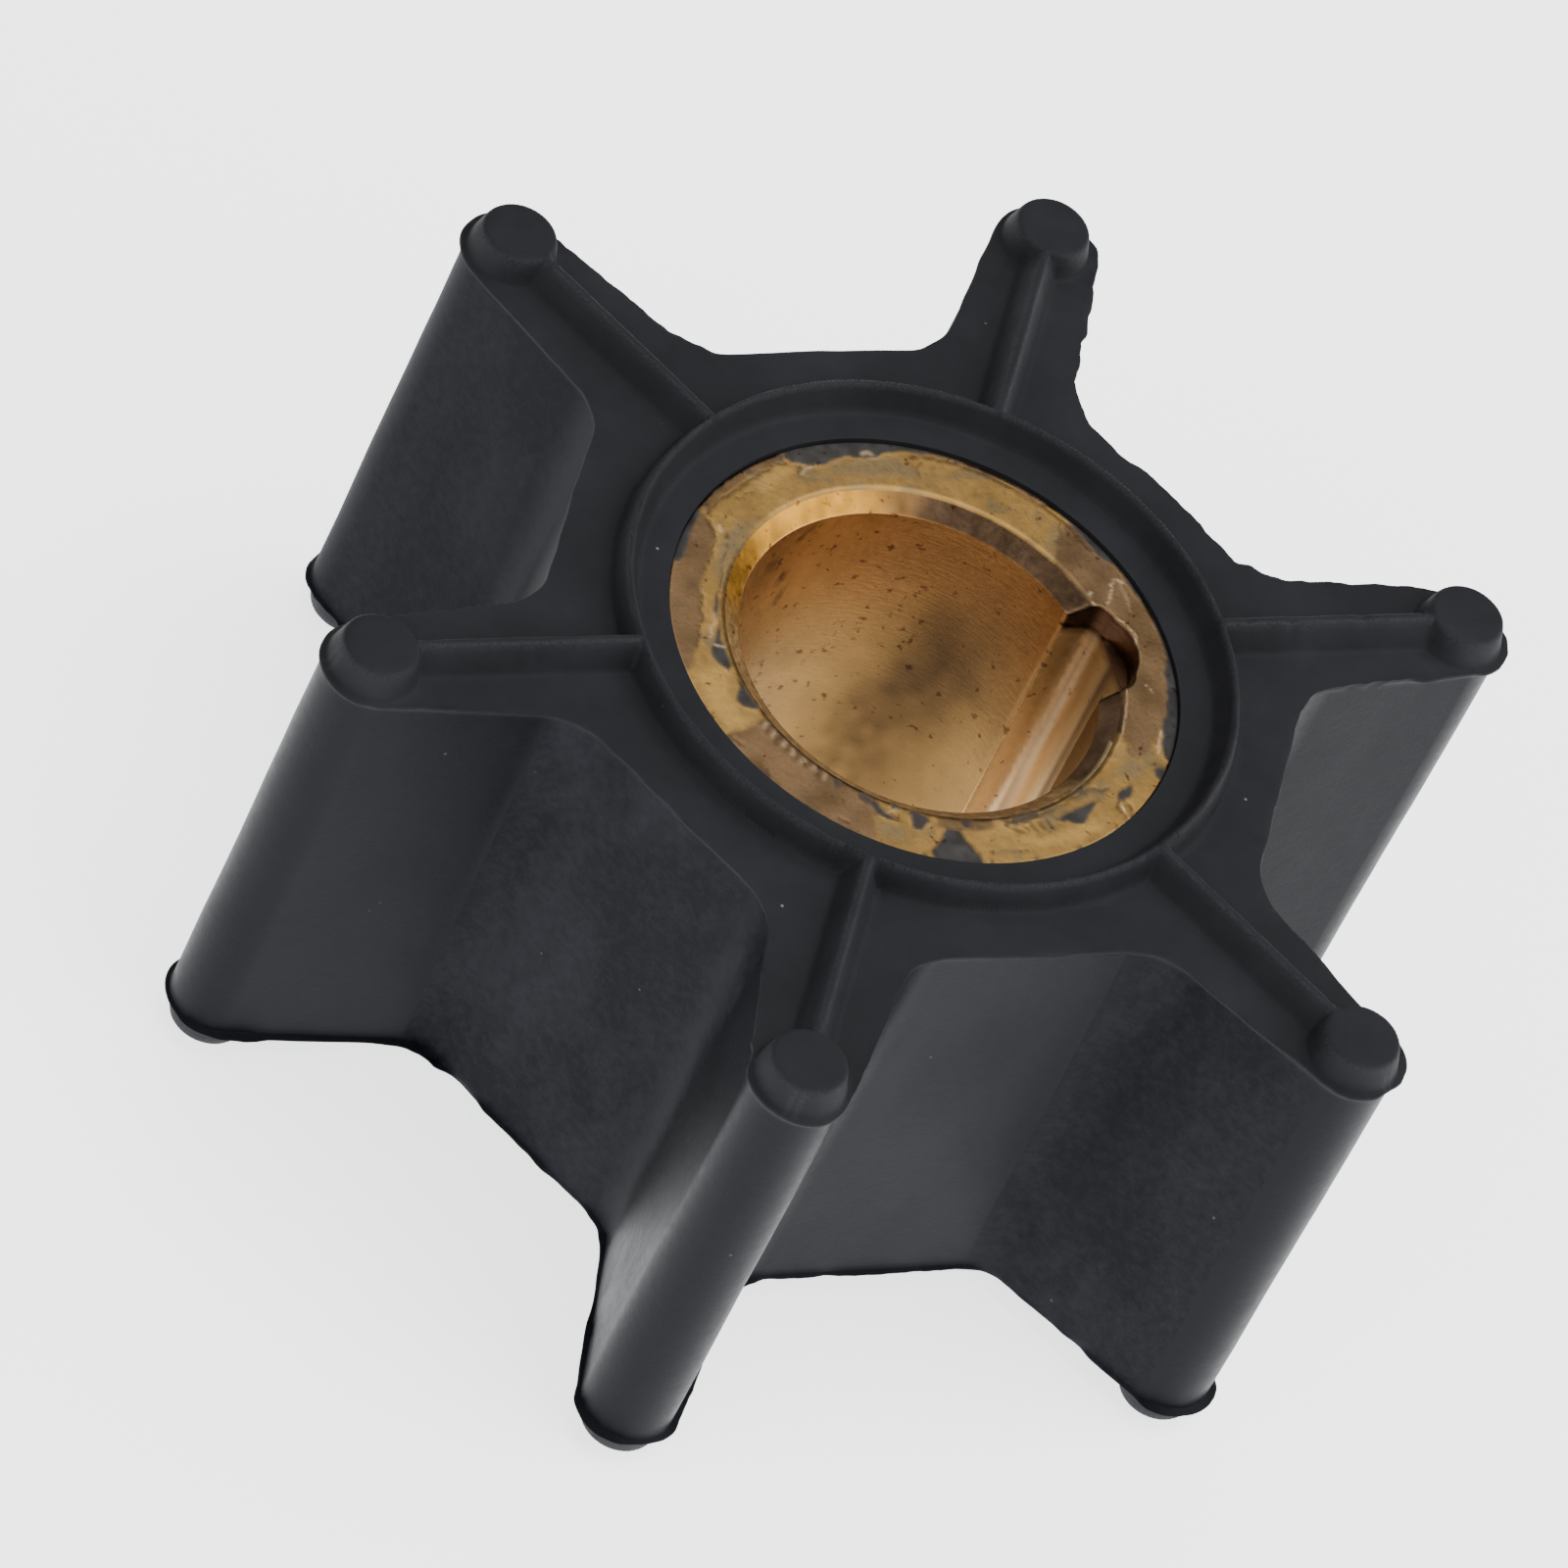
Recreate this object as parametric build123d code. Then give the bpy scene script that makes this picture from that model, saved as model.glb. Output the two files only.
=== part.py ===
"""Flexible-vane rubber impeller for a raw-water pump, with its bonded brass bush.

Frame: millimetres, +Z up along the shaft. The origin is the middle of the underside, on the
plane of the lower sealing edges, and +X runs through the vane beside the keyway.
"""
from build123d import *
from math import cos, radians, sin, tan
import os

os.makedirs("parts", exist_ok=True)

# Overall
tip_diameter = 51.4         # across the round noses of opposite vanes
overall_height = 24.0       # over the sealing edges of both end faces
vane_count = 6

# Sealing relief, raised on each end face: ring, ribs and buttons, all to one height
relief_height = 1.25
rib_base_width = 1.6
rib_crest_width = 0.35
button_taper = 0.3          # how much the radius of a button shrinks from foot to top
button_edge_break = 0.15    # chamfer of its top edge

# Vanes
nose_diameter = 3.8         # full round at the free end of a vane
vane_taper_angle = 5.5      # of each wall, so that a vane thickens towards the hub
root_fillet_radius = 2.6    # between a vane wall and the flat floor of a bay

# Parting-line flash: a thin fin round the outline of both end faces
flash_width = 0.22
flash_thickness = 0.22

# Brass bush
bore_diameter = 15.1
bush_wall = 3.15
bush_recess = 0.2           # of the brass below the end face of the vanes
lead_in_width = 0.85        # lead-in cone at both ends of the bore, across
lead_in_length = 0.67       # and along the bore
bush_edge_chamfer = 0.1

# Drive keyway, along the whole bore, with a round run-in pocket at the top face
key_width = 4.2
key_depth = 1.3             # of the keyway's floor behind the bore wall
key_corner_radius = 0.8
run_in_depth = 1.8          # of the pocket's deepest point behind the bore wall
run_in_length = 1.3         # of the pocket below the brass face
run_in_clearance = 0.05     # of the pocket beyond each side of the keyway

# Hub round the bush, counted outwards from the brass
hub_wall = 4.3              # from the brass to the flat floor of a bay
inner_land_width = 1.3      # flat land from the brass to the foot of the sealing ring
ring_inner_spread = 0.6     # of the ring's inner wall, from crest to foot
ring_outer_spread = 0.35
ring_crest_width = 0.15

# Sizes that follow from the ones above
nose_radius = nose_diameter / 2
nose_circle_radius = tip_diameter / 2 - nose_radius
vane_angles = [index * 360 / vane_count for index in range(vane_count)]
bore_radius = bore_diameter / 2
bush_radius = bore_radius + bush_wall
hub_flat_radius = bush_radius + hub_wall
ring_inner_foot = bush_radius + inner_land_width
crest_inner_radius = ring_inner_foot + ring_inner_spread
crest_outer_radius = crest_inner_radius + ring_crest_width
ring_outer_foot = crest_outer_radius + ring_outer_spread
lower_face = relief_height
upper_face = overall_height - relief_height
middle = overall_height / 2
bush_bottom = lower_face + bush_recess
bush_top = upper_face - bush_recess
standing = (Align.CENTER, Align.CENTER, Align.MIN)


def half_thickness(radius):
    """Half the thickness of a vane at a distance from the shaft axis."""
    taper = radians(vane_taper_angle)
    return nose_radius / cos(taper) + (nose_circle_radius - radius) * tan(taper)


def vane_section():
    """Plan of the vane on +X: two tapering walls, tangent to the round nose."""
    root = bush_radius
    nose_x = nose_circle_radius + nose_radius * sin(radians(vane_taper_angle))
    nose_y = nose_radius * cos(radians(vane_taper_angle))
    arc_start = vane_taper_angle - 90
    nose = CenterArc((nose_circle_radius, 0), nose_radius, arc_start, -2 * arc_start)
    lower_wall = Line((root, -half_thickness(root)), (nose_x, -nose_y))
    upper_wall = Line((nose_x, nose_y), (root, half_thickness(root)))
    back = Line((root, half_thickness(root)), (root, -half_thickness(root)))
    return make_face([lower_wall, nose, upper_wall, back])


def body_section():
    """Plan of hub and vanes: a polygon with one corner behind each vane."""
    section = RegularPolygon(hub_flat_radius, vane_count, major_radius=False)
    for angle in vane_angles:
        section += Rot(0, 0, angle) * vane_section()
    section = section.faces()[0]
    halfway = (hub_flat_radius / cos(radians(180 / vane_count)) + nose_circle_radius) / 2
    roots = [corner for corner in section.vertices() if corner.center().length < halfway]
    return fillet(roots, root_fillet_radius)


def flash_fins(section):
    """Thin fins along the parting lines, just inside both end faces."""
    outline = offset(section, flash_width)
    upper = Pos(0, 0, upper_face) * extrude(outline, -flash_thickness)
    lower = Pos(0, 0, lower_face) * extrude(outline, flash_thickness)
    return upper + lower


def revolved(points):
    """Solid of revolution about the shaft axis from (radius, height) points."""
    return revolve(Plane.XZ * make_face(Polyline(*points, close=True)), Axis.Z)


def sealing_ring():
    """Ring wall round the shaft: narrow crest, both walls drafted."""
    return revolved([
        (ring_inner_foot, 0),
        (ring_outer_foot, 0),
        (crest_outer_radius, relief_height),
        (crest_inner_radius, relief_height),
    ])


def rib():
    """Drafted rib along the vane on +X, from inside the ring wall into the button."""
    half_base = rib_base_width / 2
    half_crest = rib_crest_width / 2
    profile = Plane.YZ * Polygon(
        (-half_base, 0),
        (half_base, 0),
        (half_crest, relief_height),
        (-half_crest, relief_height),
        align=None,
    )
    return Pos(crest_inner_radius, 0, 0) * extrude(profile, nose_circle_radius - crest_inner_radius)


def button():
    """Low drafted stud over the nose of the vane on +X."""
    stud = Cone(nose_radius, nose_radius - button_taper, relief_height, align=standing)
    top_edge = stud.edges().group_by(Axis.Z)[-1]
    return Pos(nose_circle_radius, 0, 0) * chamfer(top_edge, button_edge_break)


def relief():
    """Ring, ribs and buttons of one end face, standing on the plane Z = 0."""
    raised = sealing_ring()
    for angle in vane_angles:
        raised += Rot(0, 0, angle) * (rib() + button())
    return raised


def bush_blank():
    """Turned outside of the bush, with broken edges."""
    return revolved([
        (0, bush_bottom),
        (bush_radius - bush_edge_chamfer, bush_bottom),
        (bush_radius, bush_bottom + bush_edge_chamfer),
        (bush_radius, bush_top - bush_edge_chamfer),
        (bush_radius - bush_edge_chamfer, bush_top),
        (0, bush_top),
    ])


def make_rubber_body():
    """Hub and vanes moulded in one piece round the bush."""
    section = body_section()
    body = Pos(0, 0, lower_face) * extrude(section, upper_face - lower_face)
    body += flash_fins(section)
    upper_relief = Pos(0, 0, upper_face) * relief()
    body += upper_relief
    body += mirror(upper_relief, Plane.XY.offset(middle))
    body -= Cylinder(bush_radius, overall_height, align=standing)
    return body


def keyway():
    """Flat-floored keyway with rounded floor corners, and the run-in pocket over it."""
    floor = bore_radius + key_depth
    slot = Pos(floor / 2, 0) * Rectangle(floor, key_width)
    slot = fillet(slot.vertices().group_by(Axis.X)[-1], key_corner_radius)
    channel = Pos(0, 0, bush_bottom) * extrude(slot, bush_top - bush_bottom)
    pocket_radius = key_width / 2 + run_in_clearance
    pocket_x = bore_radius + run_in_depth - pocket_radius
    pocket = Pos(pocket_x, 0, bush_top) * extrude(Circle(pocket_radius), -run_in_length)
    return channel + pocket


def make_brass_bush():
    """Bush with plain bore, lead-in cones and keyway."""
    lead_radius = bore_radius + lead_in_width
    bore = revolved([
        (0, bush_bottom),
        (lead_radius, bush_bottom),
        (bore_radius, bush_bottom + lead_in_length),
        (bore_radius, bush_top - lead_in_length),
        (lead_radius, bush_top),
        (0, bush_top),
    ])
    return bush_blank() - bore - keyway()


pieces = {
    "rubber_vane_body": make_rubber_body(),
    "brass_bush": make_brass_bush(),
}
for name, shape in pieces.items():
    export_step(shape, f"parts/{name}.step")
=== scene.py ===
import bpy
import numpy as np
from math import cos, pi, radians, sin
from mathutils import Matrix, Vector
from mathutils.geometry import delaunay_2d_cdt


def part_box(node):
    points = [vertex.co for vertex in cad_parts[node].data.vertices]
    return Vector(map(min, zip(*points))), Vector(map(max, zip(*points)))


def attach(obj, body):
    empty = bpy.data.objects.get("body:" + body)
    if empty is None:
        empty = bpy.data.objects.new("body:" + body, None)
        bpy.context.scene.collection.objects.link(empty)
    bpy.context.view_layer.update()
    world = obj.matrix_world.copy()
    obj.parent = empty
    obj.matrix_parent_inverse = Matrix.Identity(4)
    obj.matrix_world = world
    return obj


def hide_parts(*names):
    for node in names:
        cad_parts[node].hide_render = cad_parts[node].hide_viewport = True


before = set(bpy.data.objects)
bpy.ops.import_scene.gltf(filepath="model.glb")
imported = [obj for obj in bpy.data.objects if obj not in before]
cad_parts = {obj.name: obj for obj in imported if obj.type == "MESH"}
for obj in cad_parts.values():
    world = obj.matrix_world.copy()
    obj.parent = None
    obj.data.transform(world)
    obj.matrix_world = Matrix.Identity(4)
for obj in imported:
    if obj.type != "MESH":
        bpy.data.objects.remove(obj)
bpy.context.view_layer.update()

MM = 0.001

# ---- sizes, in millimetres
rubber_low, rubber_high = (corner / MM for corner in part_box("rubber_vane_body"))
brass_low, brass_high = (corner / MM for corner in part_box("brass_bush"))
RELIEF = 1.25  # of ring, ribs and buttons over an end face
FACE_LOW = rubber_low.z + RELIEF
FACE_HIGH = rubber_high.z - RELIEF
MIDDLE = (rubber_low.z + rubber_high.z) / 2
BUSH_RADIUS = brass_high.x
BUSH_BOTTOM = brass_low.z
BUSH_TOP = brass_high.z
VANES = 6
SECTOR = radians(360 / VANES)
NOSE_RADIUS = 1.9  # of the round free end of a vane
NOSE_CENTRE = 23.8  # from the shaft axis
TAPER = radians(5.5)  # of each wall of a vane
HUB_FLAT = 15  # from the shaft axis to the floor of a bay
ROOT_FILLET_LOW = 2.1  # between wall and floor of a bay, at the lower face
ROOT_FILLET_HIGH = 3.2  # and at the upper face
RING_CREST = 12.66  # radius of the sealing ring's crest

# ---- small helpers
NOISE_VALUES = 4096
NOISE_PRIMES = np.array([73856093, 19349663, 83492791])
SHARP_EDGE = radians(50)


def noise3(points, scale, seed):
    """Smooth noise from -1 to 1 at each point."""
    q = np.asarray(points, float) / scale
    cell = np.floor(q).astype(np.int64)
    f = q - cell
    f = f * f * (3 - 2 * f)
    table = np.random.default_rng(seed).random(NOISE_VALUES) * 2 - 1
    total = np.zeros(len(q))
    for corner in np.ndindex(2, 2, 2):
        c = np.array(corner)
        key = ((cell + c) @ NOISE_PRIMES) % NOISE_VALUES
        total += np.prod(np.where(c == 1, f, 1 - f), axis=1) * table[key]
    return total


def ramp(x, low, high):
    """0 below low, 1 above high, smooth between."""
    t = np.clip((x - low) / (high - low), 0, 1)
    return t * t * (3 - 2 * t)


def bell(x, centre, width):
    """1 at the centre, fading to both sides."""
    return np.exp(-((x - centre) / width) ** 2)


def unit(angle):
    """Plan directions at an array of angles."""
    return np.stack([np.cos(angle), np.sin(angle)], -1)


def polar(points):
    """Distance from the shaft axis, and azimuth."""
    x, y = points[:, :2].T
    return np.hypot(x, y), np.arctan2(y, x)


def circle(radius, count, shift=0):
    """Even points round the axis, moved on by a share of their spacing."""
    return radius * unit(np.radians((np.arange(count) + shift) * 360 / count))


def length_along(points):
    """Length of a line of points up to each of them."""
    return np.concatenate([[0], np.cumsum(np.hypot(*np.diff(points, axis=0).T))])


def turned(points, angle):
    """Plan points turned anticlockwise about the shaft axis."""
    turn = np.array([[cos(angle), sin(angle)], [-sin(angle), cos(angle)]])
    return points @ turn


def lifted(points, height):
    """Points with one more coordinate, the same for all of them."""
    return np.column_stack([points, np.full(len(points), height)])


def vane_place(points):
    """Distance from the axis, and place along and across the nearest vane."""
    r, azimuth = polar(points)
    off = (azimuth + SECTOR / 2) % SECTOR - SECTOR / 2
    return r, r * np.cos(off), np.abs(r * np.sin(off))


def add_object(name, data):
    """An object in the scene."""
    item = bpy.data.objects.new(name, data)
    bpy.context.scene.collection.objects.link(item)
    return item


def make_object(name, verts, faces, attributes, slots, materials):
    """A smooth mesh object from millimetres; slots gives the place of each face's material."""
    mesh = bpy.data.meshes.new(name)
    mesh.from_pydata((np.asarray(verts) * MM).tolist(), [], faces)
    mesh.update()
    mesh.shade_smooth()
    mesh.set_sharp_from_angle(angle=SHARP_EDGE)
    for key, values in attributes.items():
        values = np.asarray(values, np.float32)
        if values.ndim == 1:
            mesh.attributes.new(key, "FLOAT", "POINT").data.foreach_set("value", values)
        else:
            layer = mesh.attributes.new(key, "FLOAT_COLOR", "POINT")
            layer.data.foreach_set("color", lifted(values, np.float32(1)).ravel())
    for material in materials:
        mesh.materials.append(material)
    mesh.polygons.foreach_set("material_index", np.asarray(slots, np.int32))
    return add_object(name, mesh)


def face_triangles(outer, inner, fill):
    """Points (outer, inner, fill) and anticlockwise triangles of a face between two outlines."""
    n_outer, n_inner = len(outer), len(inner)
    points = np.concatenate([outer, inner, fill])
    edges = [(i, (i + 1) % n_outer) for i in range(n_outer)]
    edges += [(n_outer + i, n_outer + (i + 1) % n_inner) for i in range(n_inner)]
    faces, origins = delaunay_2d_cdt([Vector(p) for p in points.tolist()], edges, [], 1, 1e-6)[2:4]
    back = [min(origin) for origin in origins]
    triangles = []
    for face in faces:
        a, b, c = (back[i] for i in face)
        if min(a, b, c) >= n_outer and max(a, b, c) < n_outer + n_inner:
            continue  # inside the inner outline
        pa, pb, pc = points[a], points[b], points[c]
        turn = (pb[0] - pa[0]) * (pc[1] - pa[1]) - (pb[1] - pa[1]) * (pc[0] - pa[0])
        triangles.append((a, b, c) if turn > 0 else (a, c, b))
    return points, triangles


def strips(rows, count):
    """Quads between closed rows, each given by the number of its first vertex."""
    quads = []
    for low, high in zip(rows, rows[1:]):
        for i in range(count):
            j = (i + 1) % count
            quads.append((low + i, low + j, high + j, high + i))
    return quads


# ---- outline of the rubber
NOSE_STEPS, WALL_STEPS, FILLET_STEPS, FLAT_STEPS = 16, 42, 18, 20
OUTLINE_COUNT = 2 * VANES * (NOSE_STEPS + WALL_STEPS + FILLET_STEPS + FLAT_STEPS)


def half_outline(root_fillet):
    """Points and outward normals from the tip on +X to the middle of a hub flat."""
    wall = np.array([sin(TAPER), cos(TAPER)])
    flat = np.array([cos(SECTOR / 2), sin(SECTOR / 2)])
    reach = np.array([NOSE_CENTRE * sin(TAPER) + NOSE_RADIUS, HUB_FLAT]) + root_fillet
    centre = np.linalg.solve(np.array([wall, flat]), reach)
    nose_normal = unit(np.linspace(0, pi / 2 - TAPER, NOSE_STEPS + 1)[:-1])
    nose = [NOSE_CENTRE, 0] + NOSE_RADIUS * nose_normal
    share = np.linspace(0, 1, WALL_STEPS + 1)[:-1, None]
    start = [NOSE_CENTRE, 0] + NOSE_RADIUS * wall
    wall_line = start + share * (centre - root_fillet * wall - start)
    arc_normal = unit(np.linspace(pi / 2 - TAPER, SECTOR / 2, FILLET_STEPS + 1)[:-1])
    arc_line = centre - root_fillet * arc_normal
    share = np.linspace(0, 1, FLAT_STEPS + 1)[:, None]
    start = centre - root_fillet * flat
    flat_line = start + share * (HUB_FLAT * flat - start)
    points = np.concatenate([nose, wall_line, arc_line, flat_line])
    normals = np.concatenate([nose_normal, np.tile(wall, (WALL_STEPS, 1)), arc_normal,
                              np.tile(flat, (FLAT_STEPS + 1, 1))])
    return points, normals


def rubber_outline(root_fillet):
    """Outline of hub and vanes and its outward normals, anticlockwise from the tip on +X."""
    closed = []
    for values in half_outline(root_fillet):
        # the mirrored half belongs to the next vane
        halves = values[:-1], (values * [1, -1])[:0:-1]
        closed.append(np.concatenate([turned(half, (vane + k) * SECTOR)
                                      for vane in range(VANES) for k, half in enumerate(halves)]))
    return closed


# ---- flash fins
# Stretches where a fin is wider or narrower than usual: azimuth from and to, and its reach
UNEVEN_HIGH = [(5, 13, 0.45), (15, 21, 0.1), (24, 37, 0.3), (38, 46, 0.05), (49, 53, 0.25), (53.5, 56, 0.45),
               (109, 111, 0.45), (112, 115, 0.3), (296, 300, 0.2), (302, 304, 0.4), (342, 348, 0.2),
               (350, 354, 0.05), (356, 359, 0.35)]
UNEVEN_LOW = [(183, 185, 0.35), (189, 194, 0.35), (197, 202, 0), (205, 217, 0.2), (220, 226, 0.05),
              (228, 231, 0.25), (236, 240, 0.35), (244, 246, 0.3), (251, 253, 0.3), (255, 264, 0.1),
              (269, 276, 0.2), (279, 288, 0.15), (290, 294, 0), (296, 302, 0.35)]
STRETCH_BLEND = 0.8  # length of the change to the usual fin


def flash_reach(points, stretches, usual, teeth, seed):
    """How far the fin stands out at each point of an outline."""
    p = lifted(points, seed * 10)
    reach = usual + 0.07 * noise3(p, 3, seed) + 0.05 * noise3(p, 0.9, seed + 1)
    rough = ramp(noise3(p, 4, seed + 2), 0.1, 0.7)
    reach += rough * 0.09 * noise3(p, 0.4, seed + 3)
    reach = np.clip(reach, 0.1, 0.9)
    ragged = 0.09 * noise3(p, 0.8, seed + 5) + teeth * noise3(p, 0.3, seed + 4)
    length = length_along(points)
    azimuth = np.degrees(np.unwrap(polar(points)[1]))
    for first, last, known in stretches:
        start, end = np.interp((first, last), azimuth, length)
        inside = ramp(length, start - STRETCH_BLEND, start)
        inside = inside * (1 - ramp(length, end, end + STRETCH_BLEND))
        reach = reach + inside * (known + ragged - reach)
    return reach


# Share of a fin's reach at distances from its end face
FIN_PROFILE = [(0, 0.86), (0.05, 0.99), (0.12, 1), (0.19, 0.82), (0.25, 0.28), (0.34, 0.03),
               (0.55, 0), (0.9, 0)]
FIN_ZONE = FIN_PROFILE[-1][0]
LOW_FIN_SQUEEZE = 0.65  # thickness of the lower fin against the upper one
SQUEEZE_ZONE = 0.5  # distances from the lower face that are squeezed
MIDDLE_ROWS = 17  # between the two fin zones


def rubber_rows():
    """Rows of points up the bay walls."""
    height = FACE_HIGH - FACE_LOW
    base, _ = rubber_outline(ROOT_FILLET_HIGH)
    fin_high = flash_reach(base, UNEVEN_HIGH, usual=0.24, teeth=0.06, seed=11)
    base, _ = rubber_outline(ROOT_FILLET_LOW)
    fin_low = flash_reach(base, UNEVEN_LOW, usual=0.19, teeth=0.02, seed=21)
    levels = [(d * (LOW_FIN_SQUEEZE if d < SQUEEZE_ZONE else 1), share, 0) for d, share in FIN_PROFILE]
    levels += [(d, 0, 0) for d in np.linspace(FIN_ZONE, height - FIN_ZONE, MIDDLE_ROWS)[1:-1]]
    levels += [(height - d, 0, share) for d, share in FIN_PROFILE[::-1]]
    rows = []
    for above, low_share, high_share in levels:
        fillet = ROOT_FILLET_LOW + (ROOT_FILLET_HIGH - ROOT_FILLET_LOW) * (above / height)
        points, normals = rubber_outline(fillet)
        p = lifted(points, FACE_LOW + above)
        push = 0.035 * noise3(p, 5, 31) + 0.012 * noise3(p, 1.3, 32)
        push += fin_low * low_share + fin_high * high_share
        curl = 0.05 * noise3(p * [1, 1, 0], 2, 33) * (low_share + high_share)
        inwards = 1 if above * 2 < height else -1
        rows.append(np.column_stack([points + normals * push[:, None], p[:, 2] + curl * inwards]))
    return rows


# ---- relief of the end faces
# Heights at distances from the axis, from a rib's middle and from a button's middle
RING = np.array([(11.82, 0), (11.95, 0.02), (12.05, 0.1), (12.18, 0.35), (12.44, 0.96), (12.53, 1.14),
                 (12.59, 1.22), (12.65, 1.25), (12.72, 1.24), (12.78, 1.15), (12.86, 0.92), (12.98, 0.48),
                 (13.07, 0.14), (13.14, 0.04), (13.26, 0)])
RIB = np.array([(0, 1.25), (0.09, 1.245), (0.15, 1.215), (0.21, 1.12), (0.35, 0.86), (0.55, 0.47),
                (0.7, 0.18), (0.78, 0.07), (0.86, 0.02), (1, 0)])
BUTTON = np.array([(0, 1.25), (1.36, 1.25), (1.44, 1.24), (1.5, 1.21), (1.56, 1.14), (1.6, 1.03),
                   (1.74, 0.55), (1.84, 0.16), (1.89, 0.05), (1.96, 0)])
# Small pits in the upper relief: x, y, depth, half width
PITS = [(13.9, 0.04, 0.12, 0.16), (15.78, -0.2, 0.18, 0.2), (16.4, -0.15, 0.08, 0.14),
        (19.05, -0.02, 0.12, 0.2), (-17.33, -0.2, 0.1, 0.2), (-6.5, -11.1, 0.07, 0.14),
        (-6.08, -11.5, 0.08, 0.16), (-5.7, -11.95, 0.06, 0.14), (-7.3, -10.6, 0.05, 0.12),
        (22.1, 0.1, 0.1, 0.2)]
TOP_SEED, LOW_SEED = 41, 51
MERGE = 0.08  # blend where two raised forms meet
RIB_EDGE, RIB_START, BUTTON_EDGE = 0.15, 12.9, 1.55  # worn edges of a rib and of a button
RING_EDGES = ((12.57, 0.06, 0.2), (12.76, 0.05, 0.25))  # radius, width, distance from a rib


def relief(xy, seed):
    """Height of the relief over an end face, and how much each point is a worn edge."""
    r, u, v = vane_place(xy)
    p = lifted(xy, seed)
    wander = 0.02 * noise3(p, 1.1, seed) + 0.012 * noise3(p, 0.35, seed + 1)
    ring = np.interp(r + wander, *RING.T)
    rib = np.where((u > RING_CREST) & (u < NOSE_CENTRE), np.interp(np.abs(v + wander), *RIB.T), 0)
    gap = np.hypot(u - NOSE_CENTRE, v)
    stud = np.interp(gap + 0.5 * wander, *BUTTON.T)
    _, second, top = np.sort(np.stack([ring, rib, stud]), axis=0)
    merge = np.clip(MERGE - (top - second), 0, None) ** 2 / (4 * MERGE)
    height = np.minimum(top + np.where(second > 0.005, merge, 0), RELIEF)
    for x, y, depth, width in PITS if seed == TOP_SEED else ():
        height -= depth * bell(np.hypot(*(xy - [x, y]).T), 0, width)
    edge = bell(v, RIB_EDGE, 0.07) * (u > RIB_START) * (gap > BUTTON_EDGE)
    for radius, width, clear in RING_EDGES:
        edge = np.maximum(edge, bell(r, radius, width) * (v > clear))
    edge = np.maximum(edge, 0.8 * bell(gap, BUTTON_EDGE, 0.06) * ((v > 0.2) | (u > NOSE_CENTRE)))
    height += np.where(height < 0.03, 0.008 * noise3(p, 0.8, seed + 2), 0)
    return height, edge


LAND_RADII = (10.95, 11.2, 11.45, 11.66)  # of the land round the bush
LAND_END = RING[-1, 0]
RIB_CLEAR = 1.05  # ring lines stop this far from a rib's middle
DISC_RADII = (0, 0.35, 0.7, 1.05)  # on the flat top of a button
OUTLINE_GAP = 0.07  # fill keeps this far inside the outline
HALF_WIDTH = 27  # beyond every point
PART_COUNT = 2000  # points measured at once


def ring_points(spacing):
    """Points round the bush, along the profile of the ring."""
    sets = []
    for radius in (*LAND_RADII, *RING[:, 0]):
        ring = circle(radius, int(2 * pi * radius / (spacing * 0.8)))
        _, _, across = vane_place(ring)
        sets.append(ring[(radius < RING_CREST + 0.08) | (across > RIB_CLEAR)])
    return sets


def vane_points(spacing):
    """Points along the ribs and round the buttons."""
    u = np.concatenate([np.arange(12.8, 13.4, spacing * 0.4),
                        np.arange(13.45, NOSE_CENTRE - 0.9, spacing * 0.75)])
    lines = []
    for offset in np.concatenate([RIB[:, 0], -RIB[1:, 0]]):
        line = lifted(u, offset)
        line = line[np.hypot(line[:, 0] - NOSE_CENTRE, line[:, 1]) > 2]
        lines.append(line[polar(line)[0] > RING_CREST + 0.1])
    for radius in (*DISC_RADII, *BUTTON[1:, 0]):
        count = max(1, int(2 * pi * radius / (spacing * 0.7)))
        lines.append(circle(radius, count) + [NOSE_CENTRE, 0])
    return [turned(line, vane * SECTOR) for vane in range(VANES) for line in lines]


def grid_points(spacing):
    """Even points where an end face is flat."""
    grid = []
    for k, y in enumerate(np.arange(-HALF_WIDTH, HALF_WIDTH, spacing * 0.866)):
        grid.append(lifted(np.arange(-HALF_WIDTH, HALF_WIDTH, spacing) + (k % 2) * spacing / 2, y))
    grid = np.concatenate(grid)
    r, u, v = vane_place(grid)
    margin = spacing / 2
    keep = (r > LAND_END + margin) & (r < HALF_WIDTH) & ((v > RIB[-1, 0] + margin) | (u > NOSE_CENTRE))
    keep &= np.hypot(u - NOSE_CENTRE, v) > BUTTON[-1, 0] + margin
    return grid[keep]


def face_fill(outline, normals, spacing):
    """Points inside an end face, on the lines of the relief and between them."""
    fill = np.concatenate([*ring_points(spacing), *vane_points(spacing), grid_points(spacing)])
    kept = []
    for start in range(0, len(fill), PART_COUNT):
        part = fill[start:start + PART_COUNT]
        near = np.argmin(((part[:, None] - outline) ** 2).sum(-1), axis=1)
        depth = ((outline[near] - part) * normals[near]).sum(-1)
        kept.append(part[depth > OUTLINE_GAP])
    return np.concatenate(kept)


# ---- rubber mesh
HOLE_COUNT = 300  # points round the hole for the bush
SPACING_LOW, SPACING_HIGH = 0.3, 0.26  # of the points of the end faces
LOW_FIN_ROWS, HIGH_FIN_ROWS = 2, 4  # rows of faces on each fin that look like the end face
SMOOTH, FACE, DULL_SHADED, MATT_SHADED, KEY_WALL_SHADED = range(5)  # places of the materials; the dull, matt and key-wall ones also carry painted shade
DULL_SHADED_SIDE = radians(210)  # bay walls that look towards this azimuth are dull and mottled, and darker as painted shade
DULL_SHADED_SPREAD = radians(48)
DULL_SHADED_SPREAD_WIDE = radians(58)  # in the wide stretch
WIDE_STRETCH = (240, 300)
MATT_SHADED_BAY = (119, 177)  # azimuths of the bay that is matt all over and darker, as painted shade
KEY_VANE_WALL = (303, 359.5)  # azimuths of one wall of the vane by the keyway, which gets a less reflective copy of the wall material as painted shade


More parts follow.
